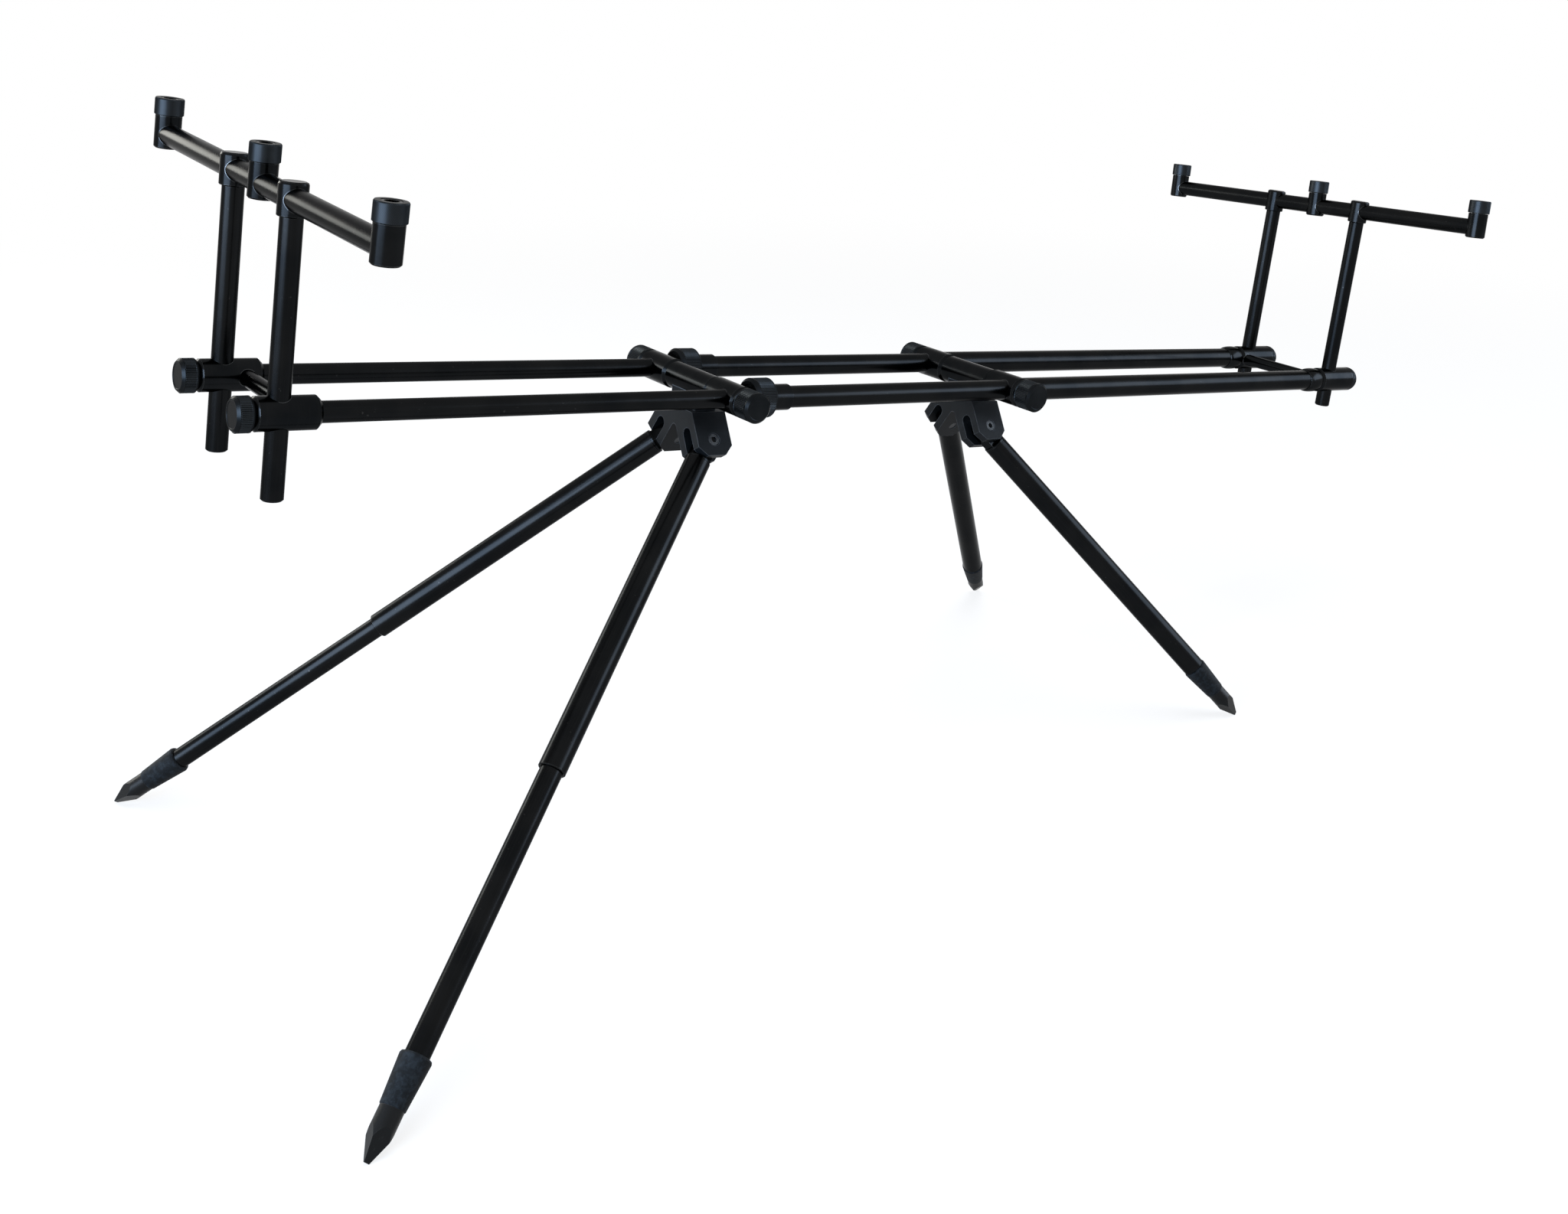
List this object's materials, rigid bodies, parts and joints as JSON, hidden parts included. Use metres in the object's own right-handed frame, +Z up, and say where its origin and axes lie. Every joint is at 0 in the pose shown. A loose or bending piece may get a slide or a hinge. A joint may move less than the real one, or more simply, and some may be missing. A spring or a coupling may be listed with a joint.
{
  "type": "rod pod",
  "caption": "Fishing rod pod: telescopic parallel rails on folding, extending spiked legs, with raised bars of threaded rod rests on posts at both ends.",
  "frame": {"origin": "on the ground under the middle of the pod's overall box", "axes": "+X along the pod from the higher left end to the lower right end, +Y to the back, +Z up"},
  "size_m": [1.3098, 0.554, 0.6285],
  "materials": {
    "anodised_tube": "satin black anodised tube",
    "turned_black": "satin black turned fittings",
    "knurled_black": "black knurled grips",
    "bracket_black": "matt black milled bracket",
    "bolt_steel": "blackened steel with a worn rim",
    "foot_black": "matt black moulded foot"
  },
  "bodies": {
    "right_frame": {"right_rail_front": "anodised_tube", "right_rail_back": "anodised_tube", "right_block_front": "turned_black", "right_block_back": "turned_black", "right_brace": "turned_black", "right_tees": "turned_black", "right_sleeve": "turned_black", "right_leg_bracket": "bracket_black", "right_pivot_bolts": "bolt_steel"},
    "middle_frame": {"middle_rails": "anodised_tube", "rail_collets": "turned_black"},
    "left_frame": {"left_rail_front": "anodised_tube", "left_rail_back": "anodised_tube", "left_block_front": "turned_black", "left_block_back": "turned_black", "left_brace": "turned_black"},
    "left_cross_bar": {"left_tees": "turned_black", "left_sleeve": "turned_black", "left_leg_bracket": "bracket_black", "left_pivot_bolts": "bolt_steel"},
    "left_goalpost": {"left_posts": "anodised_tube", "left_heads": "turned_black", "left_rest_bar": "anodised_tube", "left_rests": "turned_black"},
    "right_goalpost": {"right_posts": "anodised_tube", "right_heads": "turned_black", "right_rest_bar": "anodised_tube", "right_rests": "turned_black"},
    "lock_ring_front": {"lock_ring_front": "knurled_black"},
    "left_knob_front": {"left_knob_front": "knurled_black"},
    "right_knob_front": {"right_knob_front": "knurled_black"},
    "left_bar_knob_front": {"left_bar_knob_front": "knurled_black"},
    "right_bar_knob_front": {"right_bar_knob_front": "knurled_black"},
    "front_left_leg": {"front_left_knuckle": "turned_black", "front_left_leg_tube": "anodised_tube"},
    "front_left_lower_leg": {"front_left_inner_leg": "anodised_tube", "front_left_foot": "foot_black"},
    "front_right_leg": {"front_right_knuckle": "turned_black", "front_right_leg_tube": "anodised_tube"},
    "front_right_lower_leg": {"front_right_inner_leg": "anodised_tube", "front_right_foot": "foot_black"},
    "lock_ring_back": {"lock_ring_back": "knurled_black"},
    "left_knob_back": {"left_knob_back": "knurled_black"},
    "right_knob_back": {"right_knob_back": "knurled_black"},
    "left_bar_knob_back": {"left_bar_knob_back": "knurled_black"},
    "right_bar_knob_back": {"right_bar_knob_back": "knurled_black"},
    "back_left_leg": {"back_left_knuckle": "turned_black", "back_left_leg_tube": "anodised_tube"},
    "back_left_lower_leg": {"back_left_inner_leg": "anodised_tube", "back_left_foot": "foot_black"},
    "back_right_leg": {"back_right_knuckle": "turned_black", "back_right_leg_tube": "anodised_tube"},
    "back_right_lower_leg": {"back_right_inner_leg": "anodised_tube", "back_right_foot": "foot_black"},
    "left_thumb_front": {"left_thumb_front": "knurled_black"},
    "left_thumb_middle": {"left_thumb_middle": "knurled_black"},
    "left_thumb_back": {"left_thumb_back": "knurled_black"},
    "right_thumb_front": {"right_thumb_front": "knurled_black"},
    "right_thumb_middle": {"right_thumb_middle": "knurled_black"},
    "right_thumb_back": {"right_thumb_back": "knurled_black"}
  },
  "joints": [
    {"name": "middle_rail_slide", "type": "slide", "parent": "right_frame", "child": "middle_frame", "axis": [0.9915, 0, -0.1301], "range_m": [-0.11, 0.245]},
    {"name": "left_rail_slide", "type": "slide", "parent": "middle_frame", "child": "left_frame", "axis": [0.9915, 0, -0.1301], "range_m": [-0.12, 0.33]},
    {"name": "left_bar_slide", "type": "slide", "parent": "middle_frame", "child": "left_cross_bar", "axis": [0.9915, 0, -0.1301], "range_m": [-0.33, 0]},
    {"name": "left_post_slide", "type": "slide", "parent": "left_frame", "child": "left_goalpost", "axis": [0.1301, 0, 0.9915], "range_m": [-0.12, 0.042]},
    {"name": "right_post_slide", "type": "slide", "parent": "right_frame", "child": "right_goalpost", "axis": [0.1301, 0, 0.9915], "range_m": [-0.16, 0.016]},
    {"name": "lock_ring_front_turn", "type": "hinge", "parent": "middle_frame", "child": "lock_ring_front", "pos_m": [-0.20876, -0.0575, 0.38873], "axis": [-0.9915, 0, 0.1301], "range_deg": [0, 180]},
    {"name": "left_knob_front_turn", "type": "hinge", "parent": "left_frame", "child": "left_knob_front", "pos_m": [-0.62142, -0.0575, 0.4429], "axis": [-0.9915, 0, 0.1301], "range_deg": [0, 360]},
    {"name": "right_knob_front_turn", "type": "hinge", "parent": "right_frame", "child": "right_knob_front", "pos_m": [0.64224, -0.0575, 0.27702], "axis": [0.9915, 0, -0.1301], "range_deg": [0, 360]},
    {"name": "left_bar_knob_front_turn", "type": "hinge", "parent": "left_cross_bar", "child": "left_bar_knob_front", "pos_m": [-0.22284, -0.072, 0.39058], "axis": [0, -1, 0], "range_deg": [0, 360]},
    {"name": "right_bar_knob_front_turn", "type": "hinge", "parent": "right_frame", "child": "right_bar_knob_front", "pos_m": [0.10088, -0.072, 0.34809], "axis": [0, -1, 0], "range_deg": [0, 360]},
    {"name": "front_left_leg_fold", "type": "hinge", "parent": "left_cross_bar", "child": "front_left_leg", "pos_m": [-0.22909, -0.026, 0.34299], "axis": [-0.0697, 0.8443, -0.5313], "range_deg": [-38.9, 51.1]},
    {"name": "front_left_lower_leg_slide", "type": "slide", "parent": "front_left_leg", "child": "front_left_lower_leg", "axis": [-0.7081, -0.417, -0.5698], "range_m": [-0.214, 0.006]},
    {"name": "front_right_leg_fold", "type": "hinge", "parent": "right_frame", "child": "front_right_leg", "pos_m": [0.09463, -0.026, 0.30049], "axis": [0.0697, -0.8443, 0.5313], "range_deg": [-38.9, 51.1]},
    {"name": "front_right_lower_leg_slide", "type": "slide", "parent": "front_right_leg", "child": "front_right_lower_leg", "axis": [0.5371, -0.417, -0.7332], "range_m": [0, 0.22]},
    {"name": "lock_ring_back_turn", "type": "hinge", "parent": "middle_frame", "child": "lock_ring_back", "pos_m": [-0.20876, 0.0575, 0.38873], "axis": [-0.9915, 0, 0.1301], "range_deg": [0, 180]},
    {"name": "left_knob_back_turn", "type": "hinge", "parent": "left_frame", "child": "left_knob_back", "pos_m": [-0.62142, 0.0575, 0.4429], "axis": [-0.9915, 0, 0.1301], "range_deg": [0, 360]},
    {"name": "right_knob_back_turn", "type": "hinge", "parent": "right_frame", "child": "right_knob_back", "pos_m": [0.64224, 0.0575, 0.27702], "axis": [0.9915, 0, -0.1301], "range_deg": [0, 360]},
    {"name": "left_bar_knob_back_turn", "type": "hinge", "parent": "left_cross_bar", "child": "left_bar_knob_back", "pos_m": [-0.22284, 0.072, 0.39058], "axis": [0, 1, 0], "range_deg": [0, 360]},
    {"name": "right_bar_knob_back_turn", "type": "hinge", "parent": "right_frame", "child": "right_bar_knob_back", "pos_m": [0.10088, 0.072, 0.34809], "axis": [0, 1, 0], "range_deg": [0, 360]},
    {"name": "back_left_leg_fold", "type": "hinge", "parent": "left_cross_bar", "child": "back_left_leg", "pos_m": [-0.22909, 0.026, 0.34299], "axis": [0.0697, 0.8443, 0.5313], "range_deg": [-38.9, 51.1]},
    {"name": "back_left_lower_leg_slide", "type": "slide", "parent": "back_left_leg", "child": "back_left_lower_leg", "axis": [-0.7081, 0.417, -0.5698], "range_m": [-0.214, 0.006]},
    {"name": "back_right_leg_fold", "type": "hinge", "parent": "right_frame", "child": "back_right_leg", "pos_m": [0.09463, 0.026, 0.30049], "axis": [-0.0697, -0.8443, -0.5313], "range_deg": [-38.9, 51.1]},
    {"name": "back_right_lower_leg_slide", "type": "slide", "parent": "back_right_leg", "child": "back_right_lower_leg", "axis": [0.5371, 0.417, -0.7332], "range_m": [0, 0.22]},
    {"name": "left_thumb_front_turn", "type": "hinge", "parent": "left_goalpost", "child": "left_thumb_front", "pos_m": [-0.58288, -0.21243, 0.59667], "axis": [0.13, -0.0401, 0.9907], "continuous": true},
    {"name": "left_thumb_middle_turn", "type": "hinge", "parent": "left_goalpost", "child": "left_thumb_middle", "pos_m": [-0.58177, -0.0006, 0.60511], "axis": [0.13, -0.0401, 0.9907], "continuous": true},
    {"name": "left_thumb_back_turn", "type": "hinge", "parent": "left_goalpost", "child": "left_thumb_back", "pos_m": [-0.58067, 0.21123, 0.61354], "axis": [0.13, -0.0401, 0.9907], "continuous": true},
    {"name": "right_thumb_front_turn", "type": "hinge", "parent": "right_goalpost", "child": "right_thumb_front", "pos_m": [0.63765, -0.20323, 0.49566], "axis": [0.13, 0.0401, 0.9907], "continuous": true},
    {"name": "right_thumb_middle_turn", "type": "hinge", "parent": "right_goalpost", "child": "right_thumb_middle", "pos_m": [0.63659, 0.0006, 0.48754], "axis": [0.13, 0.0401, 0.9907], "continuous": true},
    {"name": "right_thumb_back_turn", "type": "hinge", "parent": "right_goalpost", "child": "right_thumb_back", "pos_m": [0.63552, 0.20444, 0.47942], "axis": [0.13, 0.0401, 0.9907], "continuous": true}
  ]
}
